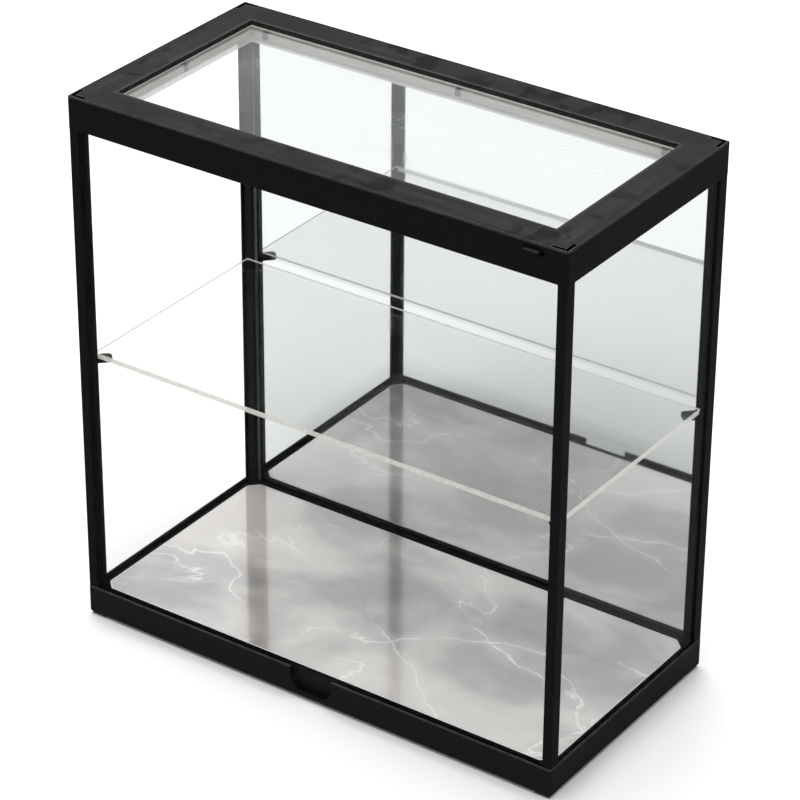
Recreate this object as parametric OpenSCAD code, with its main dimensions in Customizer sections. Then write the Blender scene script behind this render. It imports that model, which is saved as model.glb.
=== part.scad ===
// Lighted display case: clear walls in a black frame, a mirror back, a lift-out front,
// a shelf on four brackets and a light ring under the top opening.
// Front is -Y, up is +Z. The origin is under the middle of the case, where its feet stand.

/* [Case] */
// Width across the frames, along X
case_w = 310; // [260:1:400]
// Depth across the frames, along Y
case_d = 154; // [130:1:240]
// Height from the underside of the base frame to the top face
case_h = 320; // [260:1:420]
// Radius of the frames' upright outer edges
edge_r = 1.5; // [1.3:0.1:2.4]
// Chamfer along the top frame's upper edges, twice that of the edges beside the walls
edge_chamfer = 0.6; // [0.2:0.1:0.9]
// Radius of the base frame's lower edges
base_r = 1.2; // [0.3:0.1:1.3]

/* [Walls] */
// Thickness of the side walls, the mirror and the top panel
panel_t = 2.5; // [2:0.1:3]
// Thickness of the lift-out front panel
door_t = 2.5; // [2:0.1:3]
// Thickness of the lip outside the grooves
lip_t = 1.2; // [1:0.1:1.8]
// Depth of the grooves in the top frame that hold the fixed walls
head_groove = 4; // [3:0.5:6]
// How far the front panel reaches into the top frame
door_engage = 3; // [2:0.5:4]

/* [Base frame] */
// Height of the base frame
base_h = 17; // [15:0.5:24]
// Height of the grooves' floor above the underside
groove_seat = 11; // [9:0.5:12.5]
// How far the inner rim lies below the lip
rim_drop = 1; // [0.5:0.1:1.2]
// Width of the inner rim beside the side walls
side_rim = 1; // [0.8:0.1:3]
// Width of the inner rim behind the front panel and before the mirror
end_rim = 2; // [1.8:0.1:6]
// Thickness of the deck under the floor panel
deck_t = 2.5; // [1.5:0.1:4]
// Width of the ledge round the hollow underside
deck_ledge = 3; // [2:0.5:8]
// Thickness of the ribs under the deck
rib_t = 1.6; // [1:0.1:3]
// Number of ribs from front to back
cross_ribs = 4; // [2:1:8]
// Thickness of the cover under the base
cover_t = 1.5; // [1:0.1:2]
// How far the cover lies above the underside
cover_recess = 1.5; // [1.4:0.1:2]
// How far the cover reaches past the hollow that it closes
cover_lap = 2; // [1.5:0.1:3]
// Radius of the bosses that take the cover's screws
boss_r = 3; // [2.2:0.1:4]

/* [Finger notch] */
// Width of the notch in the front lip
notch_w = 28; // [20:1:60]
// Depth of the notch below the top of the lip
notch_depth = 13.2; // [10:0.2:14]
// Radius of the notch's lower corners
notch_r = 8; // [3:0.5:9]

/* [Floor panel] */
// Thickness of the floor panel
floor_t = 3; // [2:0.1:4]
// How far the floor lies below the top of the lip
floor_drop = 1.5; // [1.2:0.1:3]
// Length of the cut at each corner of the floor
floor_cut = 6; // [5:0.1:9]

/* [Corner posts] */
// Width of a post, along X
post_w = 7.2; // [6.6:0.1:8.4]
// Depth of a post, along Y
post_d = 6.7; // [6.2:0.1:7.2]
// Width of the post's outer strip beside the front panel
strip_w = 5.6; // [3:0.1:6]
// How far the posts stand back from the frames' sides
post_inset_x = 0.3; // [0:0.1:0.8]
// How far the posts stand back from the frames' front and rear
post_inset_y = 0.8; // [0:0.1:0.9]
// Depth of the slot that holds a side wall
slot_depth = 2.1; // [1.5:0.1:2.6]
// Length of the tenon in the base frame
base_tenon = 11; // [8:0.5:12]
// Length of the tenon in the top frame
head_tenon = 9; // [6:0.5:12]
// Wall of the top frame's corner blocks round a tenon
socket_wall = 2.5; // [1.5:0.1:4]

/* [Shelf] */
// Height of the shelf's top face above the underside of the base frame
shelf_z = 165; // [80:1:200]
// Thickness of the shelf
shelf_t = 3; // [2:0.1:6]
// Gap between the shelf and the posts before and behind it
shelf_gap = 0.3; // [0.3:0.1:4]
// Gap between the shelf's ends and the side walls' grooves
shelf_end_gap = 0.6; // [0.3:0.1:2]

/* [Shelf brackets] */
// How far a bracket's tongue reaches past the post's inner edge, along the corner's diagonal
tab_l = 8; // [6:0.2:12]
// Width of the tongue
tab_w = 7.6; // [6.6:0.2:10]
// How far the tongue's middle lies from that diagonal, toward the side wall
tab_shift = 1.9; // [1:0.1:2.4]
// Thickness of the tongue
tab_t = 1.8; // [1:0.1:3]
// Radius of the tongue's far corners
tab_r = 2.5; // [1:0.5:3]
// Width of the peg that holds a bracket in its post
peg_side = 1.8; // [1.2:0.1:2.2]
// Length of the peg
peg_l = 1.8; // [1:0.1:2.5]

/* [Top frame] */
// Height of the top frame
top_h = 19; // [18:0.5:28]
// Width of the top frame's four sides
rail_w = 18.7; // [17:0.1:26]
// Thickness of the top frame's upper wall
roof_t = 2; // [1.5:0.1:2.5]
// Depth of the rim round the top opening
rim_h = 3; // [2.6:0.1:4]
// Width of that rim
rim_w = 1.5; // [1:0.1:3]
// How far the top panel reaches under the frame
panel_lap = 3; // [2:0.1:4]
// Thickness of the wall between a groove and the light channel
channel_wall = 1.8; // [1.2:0.1:3]

/* [Light ring] */
// Height of the ring's underside above the top frame's lower edge
ring_lift = 6; // [5:0.5:8]
// Thickness of the diffuser's upright wall
diffuser_t = 2.7; // [1.5:0.1:3]
// Thickness of the diffuser's floor
diffuser_floor = 1.5; // [1:0.1:2]
// Width of a light strip
strip_h = 7; // [5:0.5:7.5]
// Thickness of a light strip
strip_t = 0.3; // [0.2:0.1:0.6]
// Length of a light chip along its strip
chip_l = 3.5; // [2:0.1:5]
// Height of a light chip across its strip
chip_h = 2.8; // [2:0.1:4]
// Thickness of a light chip
chip_t = 0.8; // [0.5:0.1:1.5]
// Spacing of the light chips
chip_pitch = 16.6; // [8:0.1:40]
// Distance of the outer diffuser clips from the middle
clip_span = 127; // [60:1:160]
// Width of a diffuser clip
clip_w = 3.6; // [2:0.1:6]
// Height of a diffuser clip
clip_h = 4; // [2:0.1:5]

/* [Switch] */
// Distance of the switch's middle from the right side of the case
switch_from_side = 19.4; // [18:0.1:60]
// Length of the slot that the knob slides in
knob_slot_l = 11.5; // [8:0.1:16]
// Height of the slot
knob_slot_h = 3.5; // [2.5:0.1:3.8]
// Distance of the slot's middle below the top face
knob_drop = 4.4; // [4.2:0.1:5]
// Travel of the knob
knob_travel = 2.2; // [1:0.1:3]
// Height of the knob's finger ledge
knob_ledge = 2; // [0.8:0.1:2.6]
// How far that ledge stands out before the case's front
knob_reach = 2.5; // [0.5:0.1:4]
// Thickness of the knob's sliding plate
knob_plate_t = 0.9; // [0.6:0.1:1.2]
// Depth of the switch body
switch_body_d = 4.4; // [3:0.1:6]

/* [Power inlet] */
// Distance of the inlet's middle from the right side of the case
inlet_from_side = 43; // [38:1:120]
// Width of the inlet's metal shell
inlet_w = 9; // [8:0.1:12]
// Height of the inlet's metal shell
inlet_h = 3.3; // [2.8:0.1:5]
// Length of the inlet's metal shell
inlet_l = 8.5; // [6.5:0.1:12]
// Wall of the inlet's metal shell
inlet_wall = 0.3; // [0.2:0.05:0.5]
// Height of the inlet's middle above the top frame's lower edge
inlet_rise = 10.5; // [9:0.1:12]
// Length of the control board
board_l = 26; // [18:1:60]
// Width of the control board
board_w = 7.5; // [5:0.1:8]
// Thickness of the control board
board_t = 1; // [0.6:0.1:1.6]
// Diameter of the wires
wire_d = 1.6; // [0.8:0.1:2]

/* [Feet and screws] */
// Height of the feet
foot_h = 1.5; // [1:0.1:2.5]
// Width of a foot's two legs
foot_t = 1.9; // [1:0.1:2.2]
// Length of a foot's leg along X
foot_x = 9.3; // [6:0.1:12]
// Length of a foot's leg along Y
foot_y = 8.8; // [6:0.1:12]
// Distance of the feet from the case's faces
foot_inset = 1.3; // [1.2:0.1:1.6]
// Depth of the stacking recesses that take the feet of a case above
recess_depth = 1.8; // [1:0.1:3]
// Radius of a screw's shank
screw_r = 0.9; // [0.6:0.05:1]
// Radius of a screw's head
screw_head_r = 1.6; // [1.4:0.05:1.65]
// Height of a screw's head
screw_head_h = 1.3; // [0.8:0.1:1.6]
// How far a screw's head lies above the underside
screw_sink = 0.5; // [0.2:0.1:1]
// How far a screw reaches into its post
screw_grip = 7; // [4:0.5:12]

/* [Clearances] */
// Gap on each side of a fixed wall in its groove
panel_clear = 0.15; // [0.1:0.05:0.3]
// Gap before and behind the front panel in its groove
door_clear = 0.35; // [0.3:0.05:0.6]
// Gap between the front panel and the posts' strips
door_side_clear = 0.3; // [0.3:0.05:0.8]
// How far the lifted front panel clears the lip, and its groove's end
lift_clear = 0.4; // [0.3:0.1:1]
// Gap round the floor panel
floor_clear = 0.2; // [0.1:0.05:0.5]
// Gap between pieces that plug into one another
fit_clear = 0.1; // [0.05:0.05:0.2]
// Gap round sliding pieces
slide_clear = 0.25; // [0.2:0.05:0.4]
// Gap round the feet of a stacked case
stack_clear = 0.2; // [0.1:0.05:0.3]

/* [Hidden] */
$fn = 48;

// Reach of a cut past the face that it opens
over = 1;

// Half sizes and levels
half_w = case_w / 2;
half_d = case_d / 2;
z_base = foot_h;
z_lip = z_base + base_h;
z_seat = z_base + groove_seat;
z_floor = z_lip - floor_drop;
z_deck = z_floor - floor_t;
z_top = z_base + case_h;
z_rail = z_top - top_h;
z_roof = z_top - roof_t;
z_panel = z_top - rim_h - panel_t;
z_ring = z_rail + ring_lift;
z_shelf = z_base + shelf_z - shelf_t;

// Grooves, measured from the case's outer faces
wall_in = lip_t + panel_t + 2 * panel_clear;
door_in = lip_t + door_t + 2 * door_clear;
door_lift = z_lip - z_seat + lift_clear;
door_groove = door_engage + door_lift + lift_clear;

// Edges of a post, its socket's block and the shelf, measured from the case's outer faces
post_u0 = post_inset_x;
post_u1 = post_u0 + post_w;
post_v0 = post_inset_y;
post_v1 = post_v0 + post_d;
strip_u = post_u0 + strip_w;
slot_v = post_v1 - slot_depth;
block_u = post_u1 + socket_wall;
block_v = post_v1 + socket_wall;
shelf_u = wall_in + shelf_end_gap;
shelf_v = post_v1 + shelf_gap;

// Half sizes of the floor panel and of the hollow under the deck
floor_x = half_w - wall_in - side_rim - floor_clear;
floor_y = half_d - door_in - end_rim - floor_clear;
hollow_x = floor_x - deck_ledge;
hollow_y = floor_y - deck_ledge;
z_cover = z_base + cover_recess;
z_hollow = z_cover + cover_t;
boss_x = hollow_x * 2 / 3;
boss_y = hollow_y - boss_r / 2;

// Half sizes of the top opening, and the light channel's outer walls
open_x = half_w - rail_w;
open_y = half_d - rail_w;
channel_x = half_w - wall_in - channel_wall;
channel_front = half_d - door_in - channel_wall;
channel_rear = half_d - wall_in - channel_wall;
z_strip = z_ring + diffuser_floor + strip_t;

// Switch and inlet
switch_x = half_w - switch_from_side;
knob_z = z_top - knob_drop;
knob_l = knob_slot_l - knob_travel - 2 * slide_clear;
plate_l = knob_l + 2 * knob_travel;
plate_h = knob_slot_h + 2 * slide_clear;
pocket_l = plate_l + knob_travel + 2 * slide_clear;
pocket_h = plate_h + 2 * slide_clear;
plate_v = lip_t + slide_clear;
body_v = plate_v + knob_plate_t + slide_clear;
knob_x = switch_x - knob_travel / 2;
inlet_x = half_w - inlet_from_side;
inlet_z = z_rail + inlet_rise;
inlet_recess = 0.4;
board_x = inlet_x - inlet_w / 2 - board_l / 2;
board_y = channel_rear - strip_t - board_w / 2;

// Screws and pegs stand in the post's wall beside its slot
screw_u = (wall_in + post_u1) / 2;
screw_v = (door_in + post_v1) / 2;

// Colours
frame_black = [0.07, 0.07, 0.075];
clear_acrylic = [0.86, 0.9, 0.91, 0.3];
frosted = [0.9, 0.9, 0.88, 0.7];
mirror_silver = [0.75, 0.77, 0.78];
marble_grey = [0.78, 0.77, 0.76];
foot_grey = [0.15, 0.15, 0.15];
steel = [0.6, 0.6, 0.62];
strip_white = [0.92, 0.92, 0.9];
chip_yellow = [0.95, 0.9, 0.6];
board_green = [0.1, 0.35, 0.2];
wire_red = [0.6, 0.1, 0.1];

// Puts children drawn in a corner's own measures, from the outer faces inward, into that corner
module in_corner(side, end) {
  translate([side * half_w, end * half_d, 0])
    mirror([side > 0 ? 1 : 0, 0, 0])
      mirror([0, end > 0 ? 1 : 0, 0])
        children();
}

module in_every_corner() {
  for (side = [-1, 1])
    for (end = [-1, 1])
      in_corner(side, end)
        children();
}

// Box between two corners
module box(low, high) {
  translate(low)
    cube(high - low);
}

module rounded_square(size, r) {
  square([size.x - 2 * r, size.y], center = true);
  square([size.x, size.y - 2 * r], center = true);
  for (x = [-1, 1])
    for (y = [-1, 1])
      translate([x * (size.x / 2 - r), y * (size.y / 2 - r)])
        circle(r);
}

module cut_corner_square(x, y, cut) {
  polygon([
    [-x + cut, -y], [x - cut, -y], [x, -y + cut], [x, y - cut],
    [x - cut, y], [-x + cut, y], [-x, y - cut], [-x, -y + cut]
  ]);
}

// Prisms that chamfer the four outer edges of a frame at one level
module edge_prisms(z, chamfer) {
  side = chamfer * sqrt(2);
  for (end = [-1, 1])
    translate([0, end * half_d, z])
      rotate([45, 0, 0])
        cube([case_w + 2 * over, side, side], center = true);
  for (end = [-1, 1])
    translate([end * half_w, 0, z])
      rotate([0, 45, 0])
        cube([side, case_d + 2 * over, side], center = true);
}

// The post's section, in corner measures
module post_section() {
  polygon([
    [post_u0, post_v0], [strip_u, post_v0], [strip_u, door_in], [post_u1, door_in],
    [post_u1, post_v1], [wall_in, post_v1], [wall_in, slot_v], [lip_t, slot_v],
    [lip_t, post_v1], [post_u0, post_v1]
  ]);
}

// The part of that section that plugs into the frames
module tenon_section() {
  inset = lip_t + fit_clear;
  intersection() {
    post_section();
    translate([inset, inset])
      square([post_u1, post_v1]);
  }
}

// The socket round a tenon
module socket_section() {
  translate([lip_t, lip_t])
    square([strip_u + fit_clear - lip_t, door_in - lip_t]);
  translate([lip_t, door_in - fit_clear])
    square([post_u1 + fit_clear - lip_t, post_v1 + 2 * fit_clear - door_in]);
}

// Grooves for the four walls, open upward or downward, between two levels
module wall_grooves(low, high, door_high) {
  for (side = [-1, 1])
    in_corner(side, -1)
      box([lip_t, slot_v, low], [wall_in, case_d - slot_v, high]);
  in_corner(-1, 1)
    box([strip_u, lip_t, low], [case_w - strip_u, wall_in, high]);
  in_corner(-1, -1)
    box([strip_u, lip_t, low], [case_w - strip_u, door_in, door_high]);
}

// Outline of a foot, or of its recess with a gap round it
module foot_outline(gap) {
  translate([foot_inset - gap, foot_inset - gap]) {
    square([foot_x + 2 * gap, foot_t + 2 * gap]);
    square([foot_t + 2 * gap, foot_y + 2 * gap]);
  }
}

// Slot with round ends, across X and Z, from the rear face inward
module inlet_prism(w, h, from, to) {
  translate([inlet_x, half_d - from, inlet_z])
    rotate([90, 0, 0])
      linear_extrude(to - from) {
        square([w - h, h], center = true);
        for (x = [-1, 1])
          translate([x * (w - h) / 2, 0])
            circle(h / 2);
      }
}

// Round wire along a list of points
module wire(points, d) {
  for (i = [0 : len(points) - 2]) {
    run = points[i + 1] - points[i];
    length = norm(run);
    translate(points[i])
      rotate([0, acos(run.z / length), atan2(run.y, run.x)])
        cylinder(h = length, d = d);
  }
  for (i = [1 : len(points) - 2])
    translate(points[i])
      sphere(d = d);
}

module base_frame() {
  color(frame_black)
    difference() {
      translate([0, 0, z_base])
        linear_extrude(base_h)
          rounded_square([case_w, case_d], edge_r);
      // Step from the lip down to the rim
      box([-half_w + lip_t, -half_d + lip_t, z_lip - rim_drop],
          [half_w - lip_t, half_d - lip_t, z_lip + over]);
      // Recess of the floor panel
      translate([0, 0, z_deck])
        linear_extrude(base_h)
          cut_corner_square(floor_x + floor_clear, floor_y + floor_clear,
                            floor_cut + floor_clear * (2 - sqrt(2)));
      wall_grooves(z_seat, z_lip + over, z_lip + over);
      in_every_corner()
        translate([0, 0, z_lip - base_tenon])
          linear_extrude(base_tenon + over)
            socket_section();
      finger_notch();
      base_hollow();
      in_every_corner()
        translate([screw_u, screw_v, 0]) {
          cylinder(h = z_lip, r = screw_r + fit_clear);
          cylinder(h = z_base + screw_sink + screw_head_h, r = screw_head_r + fit_clear);
        }
      lower_rounding();
      edge_prisms(z_lip, edge_chamfer / 2);
    }
}

// Cutters that round the base's lower edges, and the same round its upright edges
module lower_rounding() {
  for (turn = [0, 180])
    rotate([0, 0, turn]) {
      translate([-half_w - over, -half_d, z_base])
        rotate([90, 0, 90])
          linear_extrude(case_w + 2 * over)
            rounding_section();
      translate([-half_w, half_d + over, z_base])
        rotate([90, 0, 0])
          linear_extrude(case_d + 2 * over)
            rounding_section();
    }
  in_every_corner()
    intersection() {
      box([-over, -over, 0], [edge_r, edge_r, z_lip]);
      translate([edge_r, edge_r, z_base])
        rotate_extrude()
          translate([edge_r, 0])
            mirror([1, 0])
              rounding_section();
    }
}

// What a rounded lower edge leaves out, from the outer face inward
module rounding_section() {
  difference() {
    translate([-over, -over])
      square(base_r + over);
    translate([base_r, base_r])
      circle(base_r);
  }
}

// Notch in the front lip, down past the front panel's lower edge
module finger_notch() {
  bottom = z_lip - notch_depth;
  translate([0, -half_d + door_in, 0])
    rotate([90, 0, 0])
      linear_extrude(door_in + over) {
        translate([-notch_w / 2, bottom + notch_r])
          square([notch_w, notch_depth]);
        translate([-notch_w / 2 + notch_r, bottom])
          square([notch_w - 2 * notch_r, notch_depth]);
        for (x = [-1, 1])
          translate([x * (notch_w / 2 - notch_r), bottom + notch_r])
            circle(notch_r);
      }
}

// Space under the deck with its ribs and bosses left standing, and the cover's recess
module base_hollow() {
  difference() {
    box([-hollow_x, -hollow_y, z_base], [hollow_x, hollow_y, z_deck - deck_t]);
    for (i = [1 : cross_ribs])
      translate([-hollow_x + i * 2 * hollow_x / (cross_ribs + 1), 0, z_base + base_h / 2])
        cube([rib_t, case_d, base_h], center = true);
    at_bosses()
      cylinder(h = z_lip, r = boss_r);
  }
  translate([0, 0, z_base - over])
    linear_extrude(z_hollow - z_base + over)
      cover_outline(floor_clear);
  at_bosses()
    cylinder(h = z_cover + screw_grip, r = screw_r + fit_clear / 2);
}

module at_bosses() {
  for (x = [-boss_x, 0, boss_x])
    for (y = [-boss_y, boss_y])
      translate([x, y, 0])
        children();
}

module cover_outline(gap) {
  grow = cover_lap + gap;
  cut_corner_square(hollow_x + grow, hollow_y + grow, cover_lap + gap * (2 - sqrt(2)));
}

module base_cover() {
  color(frame_black)
    difference() {
      translate([0, 0, z_cover])
        linear_extrude(cover_t)
          cover_outline(0);
      at_bosses()
        cylinder(h = z_lip, r = screw_r + fit_clear);
    }
}

module cover_screws() {
  color(steel)
    at_bosses()
      translate([0, 0, z_cover - screw_head_h])
        screw(screw_head_h + screw_grip - fit_clear);
}

module floor_panel() {
  color(marble_grey)
    translate([0, 0, z_deck])
      linear_extrude(floor_t)
        cut_corner_square(floor_x, floor_y, floor_cut);
}

module stacking_feet() {
  color(foot_grey)
    in_every_corner()
      linear_extrude(foot_h)
        foot_outline(0);
}

module base_screws() {
  z_head = z_base + screw_sink;
  color(steel)
    in_every_corner()
      translate([screw_u, screw_v, z_head])
        screw(z_lip - base_tenon + screw_grip - z_head);
}

// Screw standing on its head, with a driver cross below
module screw(length) {
  arm = screw_head_r * 1.1;
  slot = screw_head_r * 0.3;
  difference() {
    cylinder(h = screw_head_h, r = screw_head_r);
    for (turn = [0, 90])
      rotate([0, 0, turn])
        translate([-arm / 2, -slot / 2, -over])
          cube([arm, slot, screw_head_h / 2 + over]);
  }
  translate([0, 0, screw_head_h / 2])
    cylinder(h = length - screw_head_h / 2, r = screw_r);
}

module corner_post(side, end) {
  z_foot = z_lip - base_tenon;
  color(frame_black)
    in_corner(side, end)
      difference() {
        union() {
          translate([0, 0, z_lip])
            linear_extrude(z_rail - z_lip)
              post_section();
          translate([0, 0, z_foot])
            linear_extrude(z_rail + head_tenon - z_foot)
              tenon_section();
        }
        translate([screw_u, screw_v, z_foot - over])
          cylinder(h = screw_grip + 2 * over, r = screw_r + fit_clear / 2);
        bracket_peg(fit_clear, over);
      }
}

module side_panel(side) {
  color(clear_acrylic)
    in_corner(side, -1)
      box([lip_t + panel_clear, slot_v + panel_clear, z_seat],
          [wall_in - panel_clear, case_d - slot_v - panel_clear, z_rail + head_groove - panel_clear]);
}

module back_mirror() {
  color(mirror_silver)
    in_corner(-1, 1)
      box([strip_u + door_side_clear, lip_t + panel_clear, z_seat],
          [case_w - strip_u - door_side_clear, wall_in - panel_clear,
           z_rail + head_groove - panel_clear]);
}

module front_panel() {
  color(clear_acrylic)
    in_corner(-1, -1)
      box([strip_u + door_side_clear, lip_t + door_clear, z_seat],
          [case_w - strip_u - door_side_clear, door_in - door_clear, z_rail + door_engage]);
}

module shelf() {
  color(clear_acrylic)
    in_corner(-1, -1)
      box([shelf_u, shelf_v, z_shelf], [case_w - shelf_u, case_d - shelf_v, z_shelf + shelf_t]);
}

// Peg of a shelf bracket, or its hole with a gap round it
module bracket_peg(gap, reach) {
  half = peg_side / 2 + gap;
  box([post_u1 - peg_l - gap, screw_v - half, z_shelf - tab_t - gap],
      [post_u1 + reach, screw_v + half, z_shelf + gap]);
}

// Outline of a bracket's tongue, cut off at the post, the side wall and the front panel
module tongue_outline() {
  root = post_w / 2;
  length = root + tab_l;
  difference() {
    intersection() {
      translate([post_u1, post_v1])
        rotate(45)
          translate([-root, tab_shift - tab_w / 2]) {
            square([length - tab_r, tab_w]);
            translate([0, tab_r])
              square([length, tab_w - 2 * tab_r]);
            for (side = [tab_r, tab_w - tab_r])
              translate([length - tab_r, side])
                circle(tab_r);
          }
      translate([shelf_u, door_in + fit_clear])
        square(length + tab_w);
    }
    square([post_u1, post_v1]);
  }
}

module shelf_bracket(side, end) {
  color(frame_black)
    in_corner(side, end) {
      translate([0, 0, z_shelf - tab_t])
        linear_extrude(tab_t)
          tongue_outline();
      bracket_peg(0, fit_clear);
    }
}

module top_frame() {
  color(frame_black)
    difference() {
      translate([0, 0, z_rail])
        linear_extrude(top_h)
          rounded_square([case_w, case_d], edge_r);
      box([-open_x, -open_y, z_rail - over], [open_x, open_y, z_top + over]);
      light_channel();
      wall_grooves(z_rail - over, z_rail + head_groove, z_rail + door_groove);
      in_every_corner()
        translate([0, 0, z_rail - over])
          linear_extrude(head_tenon + over)
            socket_section();
      in_every_corner()
        translate([0, 0, z_top - recess_depth])
          linear_extrude(recess_depth + over)
            foot_outline(stack_clear);
      switch_pocket();
      inlet_prism(inlet_w + 2 * fit_clear, inlet_h + 2 * fit_clear, -over, rail_w / 2);
      edge_prisms(z_top, edge_chamfer);
      edge_prisms(z_rail, edge_chamfer / 2);
    }
}

// Space under the roof for the lights, with the rim and the corner blocks left standing
module light_channel() {
  difference() {
    box([-channel_x, -channel_front, z_rail - over], [channel_x, channel_rear, z_roof]);
    box([-open_x - rim_w, -open_y - rim_w, z_top - rim_h],
        [open_x + rim_w, open_y + rim_w, z_top]);
    in_every_corner()
      box([0, 0, z_ring], [block_u, block_v, z_top]);
  }
}

// Slot for the knob, and room for its plate and for the switch body behind it
module switch_pocket() {
  in_corner(-1, -1)
    translate([switch_x + half_w, 0, knob_z]) {
      box([-knob_slot_l / 2, -over, -knob_slot_h / 2], [knob_slot_l / 2, body_v, knob_slot_h / 2]);
      box([-pocket_l / 2, lip_t, -pocket_h / 2], [pocket_l / 2, rail_w / 2, pocket_h / 2]);
    }
}

module top_panel() {
  x = open_x + panel_lap;
  y = open_y + panel_lap;
  color(clear_acrylic)
    box([-x, -y, z_panel], [x, y, z_panel + panel_t]);
}

// Frosted strip along the front or rear of the opening: an upright wall and a floor
module diffuser_end(end) {
  channel_v = half_d - (end < 0 ? channel_front : channel_rear);
  from = half_w - channel_x + fit_clear;
  upright = rail_w - diffuser_t;
  color(frosted)
    difference() {
      in_corner(-1, end) {
        box([from, channel_v + fit_clear, z_ring], [case_w - from, rail_w, z_ring + diffuser_floor]);
        box([upright, upright, z_ring], [case_w - upright, rail_w, z_panel]);
      }
      in_every_corner()
        box([0, 0, 0], [block_u + fit_clear, block_v + fit_clear, z_top]);
      at_end_clips(end)
        clip_block(fit_clear);
    }
}

// Frosted strip along a side of the opening, between the other two
module diffuser_side(side) {
  from = rail_w + fit_clear;
  color(frosted)
    difference() {
      in_corner(side, -1) {
        box([half_w - channel_x + fit_clear, from, z_ring],
            [rail_w, case_d - from, z_ring + diffuser_floor]);
        box([rail_w - diffuser_t, from, z_ring], [rail_w, case_d - from, z_panel]);
      }
      at_side_clip(side)
        clip_block(fit_clear);
    }
}

// Places of the clips: children are drawn across X, from the case's front face inward
module at_end_clips(end) {
  for (i = [-1, 0, 1])
    translate([i * clip_span, end * half_d, 0])
      mirror([0, end > 0 ? 1 : 0, 0])
        children();
}

module at_side_clip(side) {
  translate([side * half_w, 0, 0])
    rotate([0, 0, side * 90])
      children();
}

// Body of a diffuser clip, in the upper edge of the diffuser's wall
module clip_block(gap) {
  reach = clip_w / 2 + gap;
  box([-reach, rail_w - diffuser_t - gap, z_panel - clip_h - gap], [reach, rail_w, z_panel]);
}

// Clip with its stem up to the frame's roof, clear of the top panel
module diffuser_clip() {
  edge_v = rail_w - panel_lap - fit_clear;
  stem_v = edge_v - diffuser_t / 2;
  clip_block(0);
  box([-clip_w / 2, stem_v, z_panel - clip_h], [clip_w / 2, edge_v, z_roof]);
  box([-clip_w / 2, stem_v, z_panel - clip_h], [clip_w / 2, rail_w - diffuser_t, z_panel]);
}

module diffuser_clips() {
  color(steel) {
    for (end = [-1, 1])
      at_end_clips(end)
        diffuser_clip();
    for (side = [-1, 1])
      at_side_clip(side)
        diffuser_clip();
  }
}

// Ends of the light strips, along X at the front and rear, and along Y at the sides
strip_end_x = half_w - block_u - chip_l;
strip_end_y = half_d - block_v - chip_l;
front_strip_end = switch_x - pocket_l / 2 - chip_l;
rear_strip_end = inlet_x - inlet_w / 2 - chip_l;

module led_strip_front() {
  color(strip_white)
    box([-strip_end_x, -channel_front, z_strip],
        [front_strip_end, -channel_front + strip_t, z_strip + strip_h]);
}

module led_strip_rear() {
  color(strip_white)
    box([-strip_end_x, channel_rear - strip_t, z_strip],
        [rear_strip_end, channel_rear, z_strip + strip_h]);
}

module led_strip_side(side) {
  color(strip_white)
    in_corner(side, -1)
      box([half_w - channel_x, half_d - strip_end_y, z_strip],
          [half_w - channel_x + strip_t, half_d + strip_end_y, z_strip + strip_h]);
}

// Chips evenly spaced between two ends, drawn along X from the strip's face outward along +Y
module chip_row(from, to) {
  count = floor((to - from - chip_l) / chip_pitch) + 1;
  first = (from + to) / 2 - (count - 1) * chip_pitch / 2;
  for (i = [0 : count - 1])
    translate([first + i * chip_pitch - chip_l / 2, 0, z_strip + (strip_h - chip_h) / 2])
      cube([chip_l, chip_t, chip_h]);
}

module led_chips() {
  color(chip_yellow) {
    translate([0, -channel_front + strip_t, 0])
      chip_row(-strip_end_x, front_strip_end);
    translate([0, channel_rear - strip_t - chip_t, 0])
      chip_row(-strip_end_x, rear_strip_end);
    for (side = [-1, 1])
      translate([side * (channel_x - strip_t), 0, 0])
        rotate([0, 0, side * 90])
          chip_row(-strip_end_y, strip_end_y);
  }
}

module switch_body() {
  groove_l = knob_travel + 2 * knob_plate_t;
  tail = knob_plate_t;
  color(foot_grey)
    in_corner(-1, -1)
      translate([switch_x + half_w, 0, knob_z])
        difference() {
          union() {
            box([-pocket_l / 2 + fit_clear, body_v, -pocket_h / 2],
                [pocket_l / 2 - fit_clear, body_v + switch_body_d, pocket_h / 2 - fit_clear]);
            for (i = [-1, 0, 1])
              translate([i * pocket_l / 4 - tail / 2, body_v + switch_body_d, -tail / 2])
                cube([tail, 2 * tail, tail]);
          }
          box([-groove_l / 2 - slide_clear, body_v - over, -knob_plate_t - slide_clear],
              [groove_l / 2 + slide_clear, body_v + 2 * knob_plate_t + slide_clear,
               knob_plate_t + slide_clear]);
        }
}

module switch_knob() {
  ledge_z = -knob_slot_h / 2 + slide_clear;
  color(frame_black)
    in_corner(-1, -1)
      translate([knob_x + half_w, 0, knob_z]) {
        box([-knob_l / 2, -knob_reach, ledge_z], [knob_l / 2, plate_v, ledge_z + knob_ledge]);
        box([-plate_l / 2, plate_v, -plate_h / 2], [plate_l / 2, plate_v + knob_plate_t, plate_h / 2]);
        box([-knob_plate_t, plate_v, -knob_plate_t],
            [knob_plate_t, body_v + 2 * knob_plate_t, knob_plate_t]);
      }
}

// Leads lie in the middle of the light channel, just above the diffuser's floor
lane_x = (channel_x + open_x + diffuser_t) / 2;
lane_front = (channel_front + open_y + diffuser_t) / 2;
lane_rear = (channel_rear + open_y + diffuser_t) / 2;
lane_z = z_ring + diffuser_floor + wire_d / 2;
board_end = board_x + board_l / 2;

module switch_lead() {
  tails = body_v + switch_body_d + 2 * knob_plate_t;
  color(wire_red)
    wire([
      [switch_x, -half_d + tails, knob_z],
      [switch_x, -lane_front, knob_z],
      [switch_x, -lane_front, lane_z],
      [lane_x, -lane_front, lane_z],
      [lane_x, lane_rear, lane_z],
      [board_end - 3 * wire_d, lane_rear, lane_z],
      [board_end - 3 * wire_d, lane_rear, z_roof - board_t]
    ], wire_d);
}

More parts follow.
